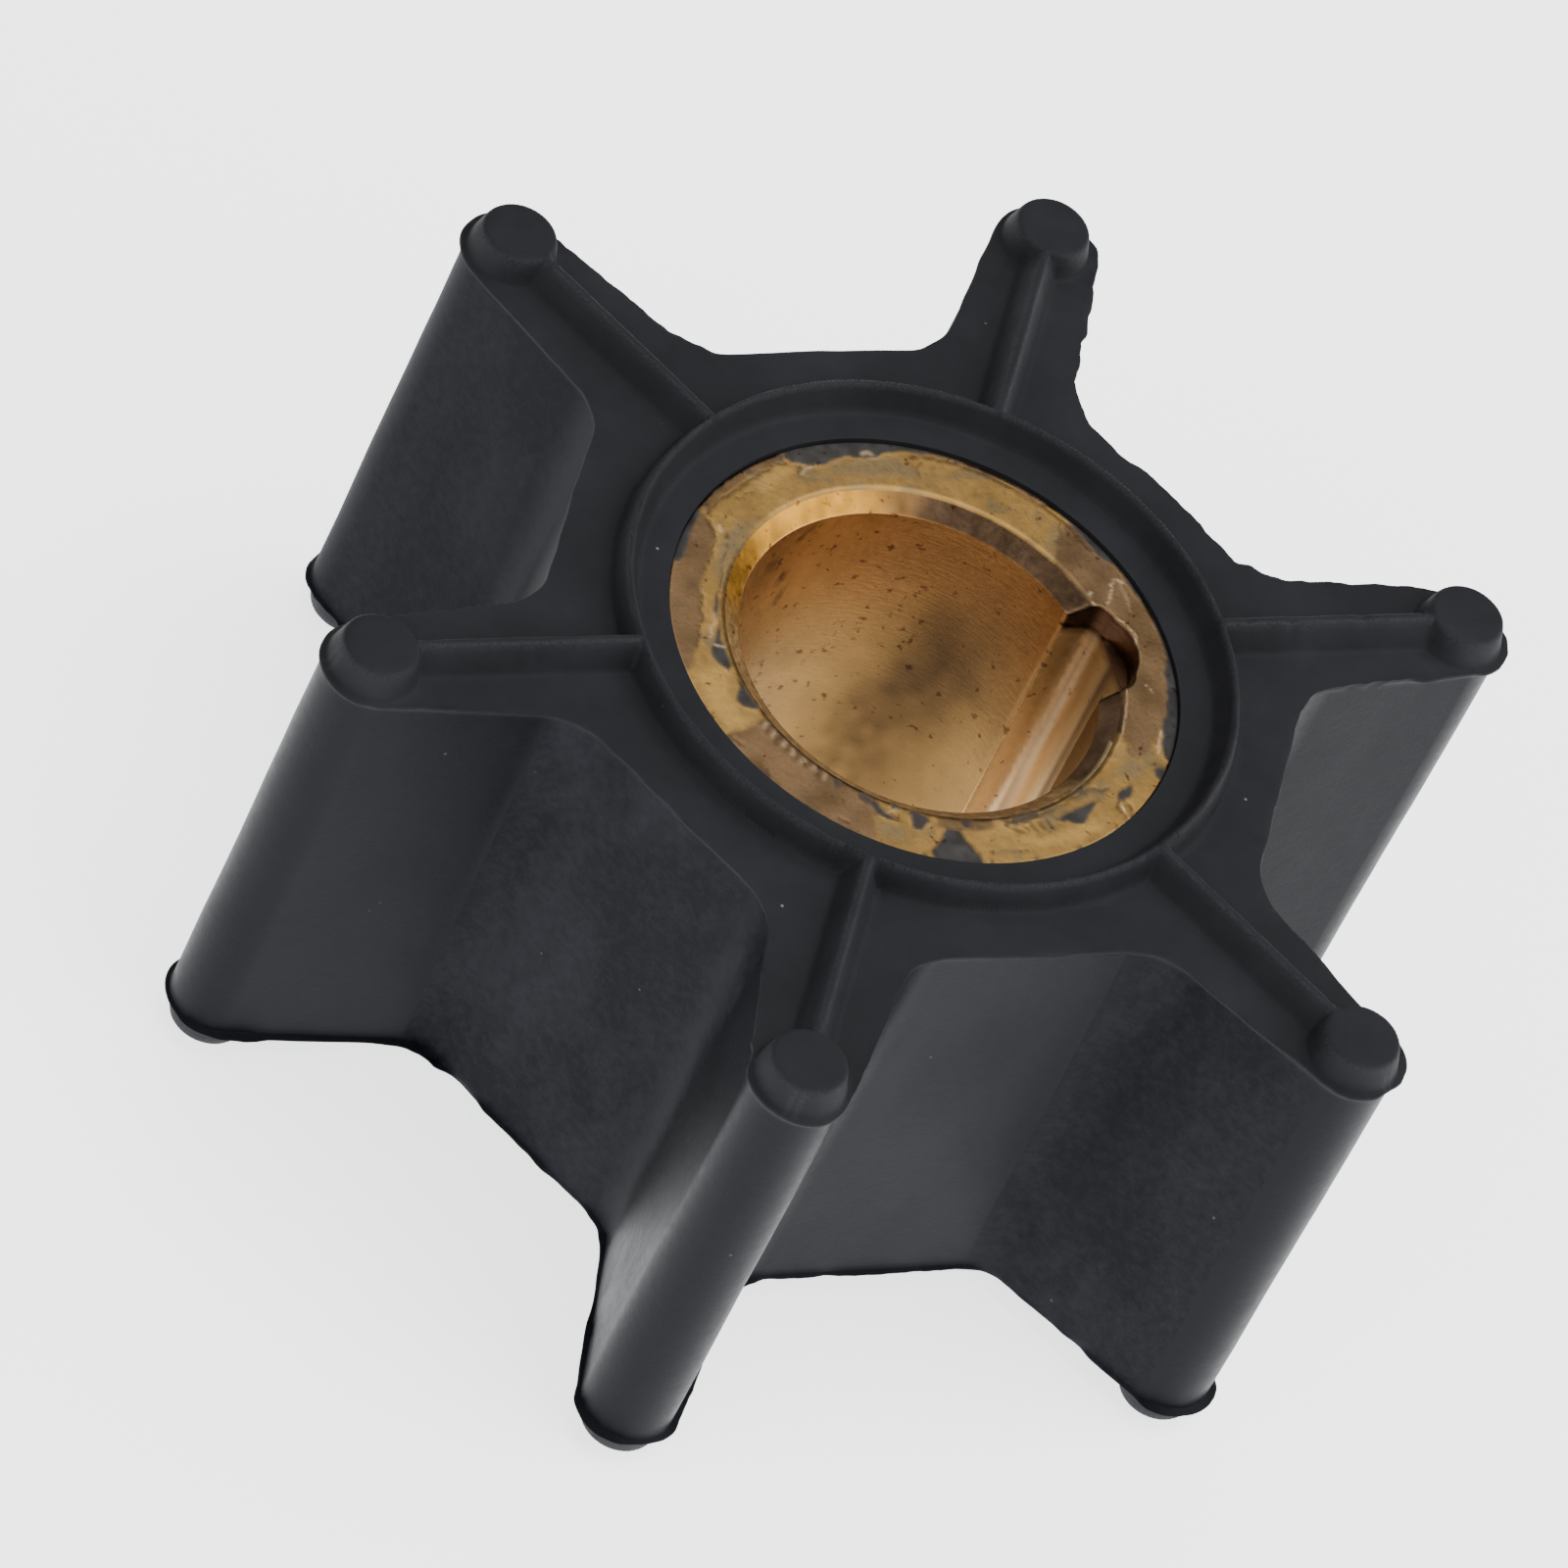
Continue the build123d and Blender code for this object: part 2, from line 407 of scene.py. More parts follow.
def wall_mottle(verts):
    """Soft patches on the rubber of the bays, from 0 to 1."""
    p = verts * [1, 1, 0.7]
    patch = noise3(p, 5, 61) + 0.6 * noise3(p, 2.2, 62) + 0.5 * noise3(p, 0.8, 63)
    near_nose = ramp(polar(verts)[0], 21, 23.5)
    return ramp(patch, -0.7, 1.1) * (1 - near_nose) + 0.5 * near_nose


def wall_slots(row_count):
    """Place of the material of each face of the bay walls."""
    points, normals = rubber_outline(ROOT_FILLET_LOW)
    facing = polar(normals)[1] - DULL_SHADED_SIDE
    facing = np.abs((facing + pi) % (2 * pi) - pi)
    r, azimuth = polar(points)
    around = np.degrees(azimuth) % 360
    in_wide, in_matt_shaded, in_key = ((around > first) & (around < last)
                                for first, last in (WIDE_STRETCH, MATT_SHADED_BAY, KEY_VANE_WALL))
    before_nose = r < NOSE_CENTRE + 0.1
    spread = np.where(in_wide, DULL_SHADED_SPREAD_WIDE, DULL_SHADED_SPREAD)
    # walls facing about 210° get the dull material, whose darker colour and weaker reflection are painted
    # shade
    kind = np.where((facing < spread) & before_nose, DULL_SHADED, SMOOTH)
    # the whole bay gets a matt, darker copy of the wall material: painted shade
    kind[in_matt_shaded] = MATT_SHADED
    # that vane wall gets a less reflective copy of the smooth material: painted shade
    kind[in_key & before_nose & (kind == SMOOTH)] = KEY_WALL_SHADED
    slots = np.tile(kind, (row_count - 1, 1))
    slots[:LOW_FIN_ROWS] = FACE
    slots[-HIGH_FIN_ROWS:] = FACE
    return slots.ravel()


def rubber_mesh():
    """Closed mesh of the rubber, with its relief and its hole."""
    rows = rubber_rows()
    verts = [np.concatenate(rows)]
    faces = strips([k * OUTLINE_COUNT for k in range(len(rows))], OUTLINE_COUNT)
    wall_count = total = len(rows) * OUTLINE_COUNT
    edge = [np.zeros(total)]
    hole = circle(BUSH_RADIUS, HOLE_COUNT)
    hole_first = []
    for top in (False, True):
        outline = rows[-1 if top else 0][:, :2]
        _, normals = rubber_outline(ROOT_FILLET_HIGH if top else ROOT_FILLET_LOW)
        fill = face_fill(outline, normals, SPACING_HIGH if top else SPACING_LOW)
        points, triangles = face_triangles(outline, hole, fill)
        rest = points[OUTLINE_COUNT:]
        height, worn = relief(rest, TOP_SEED if top else LOW_SEED)
        verts.append(np.column_stack([rest, FACE_HIGH + height if top else FACE_LOW - height]))
        edge.append(worn)
        first_row = wall_count - OUTLINE_COUNT if top else 0
        for triangle in triangles:
            place = [i + (first_row if i < OUTLINE_COUNT else total - OUTLINE_COUNT) for i in triangle]
            faces.append(place if top else place[::-1])
        hole_first.append(total)
        total += len(rest)
    depth_rows = []
    for z in np.linspace(FACE_HIGH, FACE_LOW, 5)[1:-1]:
        verts.append(lifted(hole, z))
        edge.append(np.zeros(HOLE_COUNT))
        depth_rows.append(total)
        total += HOLE_COUNT
    faces += strips([hole_first[1], *depth_rows, hole_first[0]], HOLE_COUNT)
    verts = np.concatenate(verts)
    mottle = np.where(np.arange(total) < wall_count, wall_mottle(verts), 0)
    slots = np.full(len(faces), FACE)
    slots[:wall_count - OUTLINE_COUNT] = wall_slots(len(rows))
    return verts, faces, {"worn_edge": np.concatenate(edge), "mottle": mottle}, slots


# ---- brass bush
BORE_RADIUS = 7.55
LEAD_WIDTH = 0.85  # of the lead-in cones, across
LEAD_LENGTH = 0.67  # and along the bore
KEY_HALF = 2.1  # half the width of the keyway
KEY_FLOOR = 8.85  # from the shaft axis
KEY_CORNER = 0.8
POCKET_RADIUS = 2.15  # of the round run-in pocket over the keyway
POCKET_X = 7.2
POCKET_DEPTH = 1.3
LEDGE = BUSH_TOP - POCKET_DEPTH  # floor of the pocket
EDGE_ROUND = 0.1  # radius of the rims
EDGE_ANGLES = np.radians((90, 70, 50, 30, 12, 0))
CONE_DEPTHS = (0.24, 0.34, 0.44, 0.54, 0.62, 0.67, 0.74)
LEDGE_OFFSETS = (-0.3, -0.12, -0.03, 0.03, 0.12, 0.3)
OUTER_EDGE = ((0, 0.1), (0.03, 0.03), (0.1, 0))  # depth and inset of the outer rims
VOID_COUNT = 400  # points round the bore
VOID_DETAIL = 8  # finer steps for each of them while it is smoothed
VOID_SOFTNESS = 0.11  # how far the keyway's edges are smoothed
OUTER_COUNT = 360
BRASS_SPACING_LOW, BRASS_SPACING_HIGH = 0.2, 0.11


def key_radius(azimuth):
    """Distance from the axis to the keyway's wall or floor, or 0 beside it."""
    c, s = np.cos(azimuth), np.abs(np.sin(azimuth))
    reach = np.minimum(KEY_FLOOR / np.maximum(c, 0.1), KEY_HALF / np.maximum(s, 1e-6))
    x0, y0 = KEY_FLOOR - KEY_CORNER, KEY_HALF - KEY_CORNER
    along = x0 * c + y0 * s
    inside = KEY_CORNER ** 2 - (x0 ** 2 + y0 ** 2 - along ** 2)
    corner = along + np.sqrt(np.maximum(inside, 0))
    rounded = (reach * c > x0) & (reach * s > y0)
    return np.where(c > 0.5, np.where(rounded, corner, reach), 0)


def pocket_radius(azimuth):
    """Distance from the axis to the pocket's far wall, or 0 beside it."""
    c, s = np.cos(azimuth), np.sin(azimuth)
    inside = POCKET_RADIUS ** 2 - (POCKET_X * s) ** 2
    return np.where((c > 0.5) & (inside > 0), POCKET_X * c + np.sqrt(np.maximum(inside, 0)), 0)


def void_outline(z, spread):
    """Outline of bore, cone, keyway and pocket at a height, moved outwards by spread."""
    azimuth = np.linspace(0, 2 * pi, 7201)[:-1] + pi
    depth = min(z - BUSH_BOTTOM, BUSH_TOP - z)
    r = np.maximum(BORE_RADIUS + LEAD_WIDTH * max(0, 1 - depth / LEAD_LENGTH), key_radius(azimuth))
    if z > LEDGE:
        r = np.maximum(r, pocket_radius(azimuth))
    loop = r[:, None] * unit(azimuth)
    closed = np.concatenate([loop, loop[:1]])
    length = length_along(closed)
    fine = VOID_COUNT * VOID_DETAIL
    at = np.arange(fine) * length[-1] / fine
    soft = np.exp(-2 * (pi * np.fft.rfftfreq(fine, length[-1] / fine) * VOID_SOFTNESS) ** 2)
    even = [np.interp(at, length, closed[:, k]) for k in (0, 1)]
    even = np.stack([np.fft.irfft(np.fft.rfft(values) * soft, fine) for values in even], -1)
    along = np.roll(even, -1, axis=0) - np.roll(even, 1, axis=0)
    along /= np.hypot(*along.T)[:, None]
    normal = np.stack([along[:, 1], -along[:, 0]], -1)
    return (even + normal * spread)[::VOID_DETAIL]


def bush_levels(rim, middle):
    """Heights with their offsets, which only the rims have."""
    low = [(BUSH_BOTTOM + depth, offset) for depth, offset in rim]
    high = [(BUSH_TOP - depth, offset) for depth, offset in rim[::-1]]
    return [*low, *((z, 0) for z in middle), *high]


def bore_rows():
    """Rows of points up the bore."""
    rim = [(EDGE_ROUND * (1 - sin(a)), EDGE_ROUND * (1 - cos(a))) for a in EDGE_ANGLES]
    rim += [(depth, 0) for depth in CONE_DEPTHS]
    middle = [*np.linspace(BUSH_BOTTOM + 1.2, LEDGE - 0.6, 26), *(LEDGE + offset for offset in LEDGE_OFFSETS)]
    return [lifted(void_outline(z, spread), z) for z, spread in bush_levels(rim, middle)]


def outer_rows():
    """Rows of points up the outside."""
    middle = np.linspace(BUSH_BOTTOM + 1, BUSH_TOP - 1, 6)
    return [lifted(circle(1, OUTER_COUNT) * (BUSH_RADIUS - inset), z)
            for z, inset in bush_levels(OUTER_EDGE, middle)]


def brass_fill(inner, top):
    """Points inside a face of the bush."""
    spacing = BRASS_SPACING_HIGH if top else BRASS_SPACING_LOW
    fill = []
    for k, radius in enumerate(np.arange(8.3, BUSH_RADIUS - 0.1 - spacing / 2, spacing * 0.87)):
        fill.append(circle(radius, int(2 * pi * radius / spacing), (k % 2) / 2))
    fill = np.concatenate(fill)
    near = np.array([np.hypot(*(inner - q).T).min() for q in fill])
    r, azimuth = polar(fill)
    rim = np.maximum(BORE_RADIUS + LEAD_WIDTH, key_radius(azimuth))
    if top:
        rim = np.maximum(rim, pocket_radius(azimuth))
    return fill[(near > spacing * 0.6) & (r > rim + EDGE_ROUND)]


def brass_mesh():
    """Closed mesh of the bush, with its bore and keyway."""
    outside, inside = outer_rows(), bore_rows()
    verts = [*outside, *inside]
    outer_starts = [k * OUTER_COUNT for k in range(len(outside))]
    inner_starts = [len(outside) * OUTER_COUNT + k * VOID_COUNT for k in range(len(inside))]
    total = inner_starts[-1] + VOID_COUNT
    faces = strips(outer_starts, OUTER_COUNT)
    faces += [quad[::-1] for quad in strips(inner_starts, VOID_COUNT)]
    for row, top in ((0, False), (-1, True)):
        outer, inner = outside[row][:, :2], inside[row][:, :2]
        fill = brass_fill(inner, top)
        _, triangles = face_triangles(outer, inner, fill)
        verts.append(lifted(fill, BUSH_TOP if top else BUSH_BOTTOM))
        numbers = np.concatenate([outer_starts[row] + np.arange(OUTER_COUNT),
                                  inner_starts[row] + np.arange(VOID_COUNT), total + np.arange(len(fill))])
        for place in numbers[np.array(triangles)].tolist():
            faces.append(place if top else place[::-1])
        total += len(fill)
    verts = np.concatenate(verts)
    colour, cover, pitted, height = brass_paint(verts)
    verts[:, 2] += height
    return verts, faces, {"metal": colour, "cover": cover, "pitted": pitted}, np.zeros(len(faces), int)


# ---- marks on the brass
FACE_MIDDLE = 9.5  # radius at which the face is unrolled

# Closed outlines on the upper face: azimuth and radius of their corners
FILM = [
    [(-24, 10.9), (-23, 10.3), (-19, 10.15), (-12, 10.35), (-8, 10.25), (-4, 10.5), (4, 10.66), (12, 10.6),
     (14, 10.42), (17, 10.6), (23, 10.6), (25, 10.3), (27, 10.2), (29, 10.35), (36, 10.45), (42, 10.62),
     (42, 10.9)],
    [(42, 10.9), (42, 10.66), (60, 10.62), (75, 10.5), (80, 10.2), (83, 10.02), (86, 9.86), (89, 9.9),
     (93, 10), (96, 9.76), (99, 9.68), (103, 9.8), (106, 10.15), (107, 10.9)],
    [(134, 10.9), (135.5, 10.45), (140, 10.4), (145, 10.3), (148, 10.28), (152, 10.45), (155, 10.9)],
    [(158, 8.72), (161, 8.6), (166, 8.62), (168, 8.72), (164, 8.82)],
    [(169, 8.6), (172, 8.55), (176, 8.62), (179, 8.6), (183, 8.6), (185, 8.75), (182, 9.15), (179, 9.2),
     (176, 8.95)],
    [(187, 8.5), (190, 8.45), (197, 8.45), (198, 8.6), (196, 9.05), (194.5, 9.15), (191, 8.85)],
    [(237, 8.75), (239, 8.65), (243, 9), (246, 9.25), (243, 9.3), (240, 9.1)],
    [(248.5, 8.4), (253, 8.4), (254, 8.75), (252, 9.3), (250, 9.3), (249, 8.9)],
    [(254, 10.2), (255, 10.55), (257, 10.9), (266, 10.9), (265.5, 10.1), (263, 9.6), (262, 9), (258, 8.95),
     (257, 9.4)],
    [(290, 9), (296, 8.98), (302, 9.1), (303.5, 9.3), (299, 9.5), (295, 9.7), (292.5, 9.4)],
    [(308, 9.72), (310, 9.58), (314, 9.7), (315, 9.85), (312, 10.05), (309, 9.98)],
    [(319.8, 10.9), (320.3, 10.3), (322, 10.15), (323.6, 10.35), (323.8, 10.9)],
    [(325, 10.9), (327, 10.45), (331, 10.2), (337, 10.05), (341, 10.15), (342, 10.35), (347, 10.2),
     (352, 10.42), (356, 10.5), (356, 10.9)],
]
OXIDE = [
    [(-37, 9.3), (-36, 9), (-33, 8.6), (-30, 8.2), (31, 8.2), (32, 8.6), (34.5, 9.1), (36, 9.6), (37, 10.1),
     (36, 10.9), (-22, 10.9), (-26, 9.95), (-33, 9.75), (-36.5, 9.6)],
    [(136, 10.9), (137, 9.95), (139, 9.55), (143, 9.32), (150, 9.28), (160, 9.33), (168, 9.34), (173, 9.5),
     (177, 9.75), (181, 9.95), (184, 10.9)],
    [(201, 10.9), (201.5, 9.6), (202, 8.2), (239, 8.2), (240.5, 9), (239.5, 9.6), (241, 10.2), (241, 10.9)],
    [(255, 8.95), (256, 8.5), (272, 8.3), (272, 8.9), (264, 9)],
    [(107, 10.9), (107, 10.24), (134, 10.26), (135, 10.9)],
    [(42, 10.64), (43, 10.4), (75, 10.34), (76, 10.52), (60, 10.62)],
]
PALE = [
    [(72, 9.2), (78, 9.9), (88, 9.8), (97, 9.6), (100, 9.2), (88, 8.9)],
    [(127, 8.5), (133, 9.1), (150, 9), (156, 8.55), (140, 8.4)],
    [(314, 9), (317, 9.7), (322, 9.8), (323, 9.2), (319, 8.9)],
    [(34, 9), (36, 9.9), (39, 10), (37, 8.9), (33, 8.45)],
    [(240.5, 9.55), (241, 10.15), (248, 10.1), (248, 9.5)],
]
BRIGHT = [
    [(184.5, 8.6), (183, 9.4), (184, 10.3), (200.5, 10.3), (200.5, 9.2), (197, 9.3), (190, 9.2)],
    [(277, 9.6), (281, 9.95), (292, 10.3), (299, 10.2), (299, 9.75), (290, 9.6)],
    [(106.5, 9.6), (108, 10.1), (119, 10.1), (118, 9.4)],
]
# Open lines on the face: half width, strength, and points
DARK_LINES = [
    (0.04, 0.35, (-37, 9.5), (-36, 9), (-32, 8.55)),
    (0.05, 0.9, (28, 10.2), (34, 10.35), (45, 10.36), (60, 10.36), (75, 10.3)),
    (0.06, 0.85, (107, 10.2), (114, 10.16), (122, 10.12), (129, 10.18), (135, 10.22)),
    (0.05, 0.8, (136, 10.3), (137, 9.95), (139, 9.55), (143, 9.3), (147, 9.24), (152, 9.3)),
    (0.05, 0.8, (160, 9.31), (168, 9.33), (173, 9.48), (177, 9.75)), (0.1, 0.8, (137.2, 9.12), (138.6, 9)),
    (0.04, 0.6, (140, 8.82), (147, 8.72), (154, 8.62), (160, 8.7)),
    (0.06, 0.8, (104.6, 9.85), (105.3, 9.62), (106.2, 9.5)),
    (0.03, 0.6, (119, 10), (119.8, 9.6), (122.5, 9.75), (124.5, 9.62), (126.5, 9.95)),
    (0.05, 0.7, (73.2, 9.95), (73.9, 9.6), (74, 9.25)), (0.05, 0.5, (35, 9.35), (36, 9.75), (37, 9.95)),
    (0.07, 0.7, (212.5, 10.6), (213.2, 10.3), (214.6, 10.45)),
    (0.06, 0.6, (201, 10.6), (202, 10.3), (205, 10.3)), (0.05, 0.7, (232, 10.25), (235, 10.2)),
    (0.04, 0.6, (272.5, 10.05), (275, 9.97), (277.5, 10.05)),
    (0.07, 0.75, (278, 8.6), (290, 8.57), (302, 8.55), (305, 8.7), (309, 9.2)),
    (0.06, 0.9, (305.6, 10.35), (306.5, 9.9), (308, 9.8)), (0.06, 0.8, (308.5, 10.4), (309.2, 10.2)),
    (0.08, 1, (268.8, 10.05), (269.2, 10.03)), (0.08, 0.9, (354.8, 10.48), (355.4, 10.44)),
    (0.04, 0.4, (329.5, 9.9), (333.5, 9.95), (336, 9.72)),
]
LIGHT_LINES = [
    (0.045, 0.9, (13.6, 9.05), (15, 9.35), (17, 9.65), (18.7, 9.78), (19.3, 10.1), (18.4, 10.35)),
    (0.045, 0.8, (17.8, 8.55), (18.8, 8.78)), (0.05, 0.7, (0, 9.42), (4, 9.4), (7, 9.28), (9, 9.12)),
    (0.05, 0.6, (13, 8.5), (15.5, 8.42)), (0.05, 0.35, (10, 9.9), (16, 10.1), (19, 10.35)),
    (0.06, 0.8, (136.4, 9.6), (138, 9.35)), (0.05, 0.7, (165.5, 8.72), (169, 8.75), (172, 9), (174, 9.2)),
    (0.05, 0.8, (176.5, 8.95), (177.3, 8.6), (176, 8.45)),
    (0.05, 0.9, (328, 10.12), (332, 10.08), (334.5, 10.02)), (0.04, 0.5, (346, 9.5), (348, 9.3)),
    (0.05, 0.9, (306.4, 10.2), (307.6, 10.02)), (0.05, 0.6, (102.5, 9.72), (104, 9.6), (105.2, 9.35)),
    (0.05, 0.6, (242, 8.9), (243.6, 8.85), (244.5, 8.6)), (0.03, 0.5, (322, 8.47), (346, 8.45)),
    (0.1, 0.6, (85.2, 10.1), (87.2, 10.08)),
]
# Rows of tool marks: first azimuth, count, pitch, inner and outer radius, strength of the light side
TOOL_MARKS = [(201.2, 7, 3.35, 8.4, 8.85, 0.45), (277.5, 5, 2.4, 8.95, 9.2, 0)]


def unroll(marks):
    """Azimuth and radius as flat millimetres."""
    marks = np.asarray(marks, float)
    return np.column_stack([np.radians(marks[:, 0]) * FACE_MIDDLE, marks[:, 1]])


def line_distance(points, line):
    """Distance of points from an open line."""
    best = np.full(len(points), 1e9)
    for a, b in zip(line[:-1], line[1:]):
        along = b - a
        t = np.clip(((points - a) @ along) / max(along @ along, 1e-12), 0, 1)
        best = np.minimum(best, np.hypot(*(points - a - t[:, None] * along).T))
    return best


def area_distance(points, outline):
    """Distance from a closed outline, negative inside."""
    closed = np.concatenate([outline, outline[:1]])
    x, y = points.T
    inside = np.zeros(len(points), bool)
    for (x0, y0), (x1, y1) in zip(closed[:-1], closed[1:]):
        crosses = (y0 > y) != (y1 > y)
        at = x0 + (y - y0) * (x1 - x0) / (y1 - y0 if y1 != y0 else 1e-12)
        inside ^= crosses & (x < at)
    return np.where(inside, -1, 1) * line_distance(points, closed)


def face_marks(verts):
    """Shares of film, oxide, pale metal, bright metal, dark lines and light lines on a face."""
    r, azimuth = polar(verts)
    azimuth = np.degrees(azimuth) % 360
    flat = unroll(np.column_stack([azimuth, r]))
    flat += 0.1 * np.column_stack([noise3(verts, 0.5, 71), noise3(verts, 0.5, 72)])
    flat += 0.06 * np.column_stack([noise3(verts, 0.22, 73), noise3(verts, 0.22, 74)])
    whole = radians(360) * FACE_MIDDLE
    sheets = (flat, flat - [whole, 0], flat + [whole, 0])
    film, oxide, pale, bright = (
        np.max([1 - ramp(area_distance(sheet, unroll(outline)), -soft, soft)
                for outline in outlines for sheet in sheets], axis=0)
        for outlines, soft in ((FILM, 0.09), (OXIDE, 0.14), (PALE, 0.3), (BRIGHT, 0.25)))
    dark, light = (np.max([strength * bell(line_distance(sheet, unroll(line)), 0, width)
                           for width, strength, *line in lines for sheet in sheets], axis=0)
                   for lines in (DARK_LINES, LIGHT_LINES))
    # flecks of film along the inner and the outer rim
    fleck = ramp(noise3(verts, 0.45, 75) + 0.5 * noise3(verts, 0.2, 76), 0.25, 0.5)
    fleck *= ramp(azimuth, 205, 235) * (1 - ramp(azimuth, 300, 312)) * (1 - ramp(r, 8.7, 9.1))
    outer = ramp(noise3(verts, 0.4, 77), 0.45, 0.65) * (1 - ramp(np.abs(r - 10.55), 0.05, 0.35))
    film = np.maximum(film, 0.8 * np.maximum(fleck, outer))
    for first, count, pitch, low, high, strength in TOOL_MARKS:
        for k in range(count):
            tooth = unroll([(first + k * pitch, low), (first + k * pitch + 0.8, high)])
            beside = tooth + [radians(pitch / 2) * FACE_MIDDLE, -0.05]
            dark = np.maximum(dark, 0.6 * bell(line_distance(flat, tooth), 0, 0.09))
            light = np.maximum(light, strength * bell(line_distance(flat, beside), 0, 0.09))
    return film, oxide, pale, bright, dark, light


# ---- colours of the brass
GOLD_FACE = (0.225, 0.134, 0.043)
BRIGHT_FACE = (0.36, 0.215, 0.065)
PALE_FACE = (0.15, 0.11, 0.06)
OXIDE_FACE = (0.085, 0.052, 0.028)
FILM_FACE = (0.014, 0.0145, 0.016)
GREY_FACE = (0.1, 0.085, 0.055)
LINE_FACE = (0.03, 0.018, 0.01)
SCRATCH_FACE = (0.45, 0.33, 0.2)
CONE_METAL = (0.41, 0.2, 0.028)
# bright colour of the near side of the cones: painted highlight
CONE_NEAR_HIGHLIGHT = (0.85, 0.58, 0.27)
CONE_DARKER = (0.095, 0.058, 0.034)
BORE_HIGH = (0.25, 0.128, 0.042)
BORE_LOW = (0.265, 0.155, 0.05)
# Depth of the painted dark reflection, a brown patch in the bore, at heights of its wall
DARK_REFLECTION_HEIGHTS = (3, 7.5, 10.5, 12.5, 15, 16.5, 18, 20, 21.5)
DARK_REFLECTION_DEPTHS = (0.3, 0.62, 0.74, 0.82, 0.83, 0.74, 0.52, 0.3, 0.08)
# Across the keyway: y and colour; the bright band from -1.6 to -0.7 is a painted highlight
KEY_BANDS = np.array([(-2.1, 0.14, 0.09, 0.045), (-1.85, 0.25, 0.17, 0.08), (-1.6, 0.78, 0.65, 0.33),
                      (-0.7, 0.7, 0.57, 0.29), (-0.4, 0.4, 0.3, 0.15), (0.15, 0.16, 0.11, 0.065),
                      (0.4, 0.46, 0.38, 0.24), (0.75, 0.43, 0.33, 0.18), (1, 0.38, 0.265, 0.135),
                      (1.5, 0.38, 0.255, 0.13), (1.85, 0.24, 0.15, 0.08), (1.98, 0.6, 0.4, 0.21),
                      (2.05, 0.95, 0.68, 0.4), (2.1, 0.95, 0.68, 0.4)])
# colour of the painted shade in the round pocket
POCKET_SHADE = (0.09, 0.045, 0.025)
# colour of a painted highlight just inside the rims on the near side
RIM_HIGHLIGHT = (0.95, 0.7, 0.38)


def blend(colour, share, other):
    """The colour moved towards another one by a share for each point."""
    return colour + (np.asarray(other) - colour) * np.clip(share, 0, 1)[:, None]


def face_colour(verts, marks):
    """Tarnished gold of both faces under their marks."""
    film, oxide, pale, bright, dark, light = marks
    shade = 1 + 0.2 * noise3(verts, 1.3, 81) + 0.14 * noise3(verts, 0.3, 82)
    colour = np.array(GOLD_FACE) * shade[:, None]
    grey = ramp(noise3(verts, 0.9, 94) + 0.5 * noise3(verts, 0.35, 95), 0.2, 0.9)
    oxide_face = np.array(OXIDE_FACE) * (1.25 + 0.45 * noise3(verts, 0.9, 83))[:, None]
    film_face = np.array(FILM_FACE) * (1.5 + 1.1 * noise3(verts, 0.35, 96))[:, None]
    for share, other in ((0.6 * grey, GREY_FACE), (0.8 * pale, PALE_FACE), (0.7 * bright, BRIGHT_FACE),
                         (0.9 * oxide, oxide_face), (0.96 * film, film_face), (0.85 * dark, LINE_FACE),
                         (0.8 * light, SCRATCH_FACE)):
        colour = blend(colour, share, other)
    return colour


def bore_colour(verts, azimuth):
    """Gold of the bore, with a painted dark reflection, a painted brighter stretch, small spots and scoring.
    """
    z = verts[:, 2]
    height = z + 1.5 * noise3(verts, 4, 84) - 0.06 * np.abs(azimuth - 75)
    bore = blend(BORE_LOW, ramp(height, 12, 18.5), BORE_HIGH)
    bore *= (1 + 0.14 * noise3(verts, 1.6, 85) + 0.08 * noise3(verts, 0.5, 86))[:, None]
    # painted dark reflection: a brown patch that drifts round the bore with height
    lower = 1 - ramp(z, 9, 15.5)
    centre = 46 + 11 * lower
    spread = np.where(azimuth < centre, 23 + 3 * lower, 17.5)
    shade = np.interp(z, DARK_REFLECTION_HEIGHTS, DARK_REFLECTION_DEPTHS) * bell(azimuth, centre, spread)
    shade *= 1 + 0.1 * noise3(verts, 1.8, 89) + 0.12 * noise3(verts, 0.7, 78)
    bore *= 1 - np.clip(shade, 0, 0.88)[:, None] * [0.98, 0.99, 0.93]
    spots = ramp(noise3(verts, 0.55, 91), 0.45, 0.75) * ramp(noise3(verts, 2.5, 92), -0.1, 0.5)
    spots *= ramp(azimuth, 55, 75) * ramp(z, 9, 13)
    bore *= (1 - 0.5 * spots)[:, None]
    # painted light: the upper bore made brighter from azimuth 70° to 118°
    bore *= (1 + 1.4 * ramp(azimuth, 70, 118) * ramp(z, 12, 18.5))[:, None]
    scored = noise3(verts * [1, 1, 4], 0.5, 93) * np.exp(-((azimuth - 60) / 14) ** 2 - ((z - 8) / 4) ** 2)
    return bore * (1 + 0.35 * scored)[:, None]


def cone_colour(verts, azimuth):
    """Bright, streaked metal of the lead-in cones, darker at azimuths below about 70°, with a painted
    highlight on the near side.
    """
    darker_share = 1 - ramp(azimuth + 3 * noise3(verts, 1, 87), 70, 98)
    cone = blend(CONE_METAL, darker_share, CONE_DARKER)
    cone = blend(cone, ramp(azimuth, 135, 165), np.asarray(CONE_METAL) * 1.1)
    cone *= (1 + 1.1 * ramp(-azimuth, 14, 24) * (1 - ramp(-azimuth, 45, 70)))[:, None]
    streaks = 1 + 0.3 * noise3(verts * [1, 1, 0.15], 0.4, 98) + 0.2 * noise3(verts * [1, 1, 3], 1.1, 99)
    cone *= streaks[:, None]
    # painted highlight: the near side of the cones made bright
    around = azimuth % 360
    return blend(cone, ramp(around, 152, 176) * (1 - ramp(around, 296, 312)), CONE_NEAR_HIGHLIGHT)


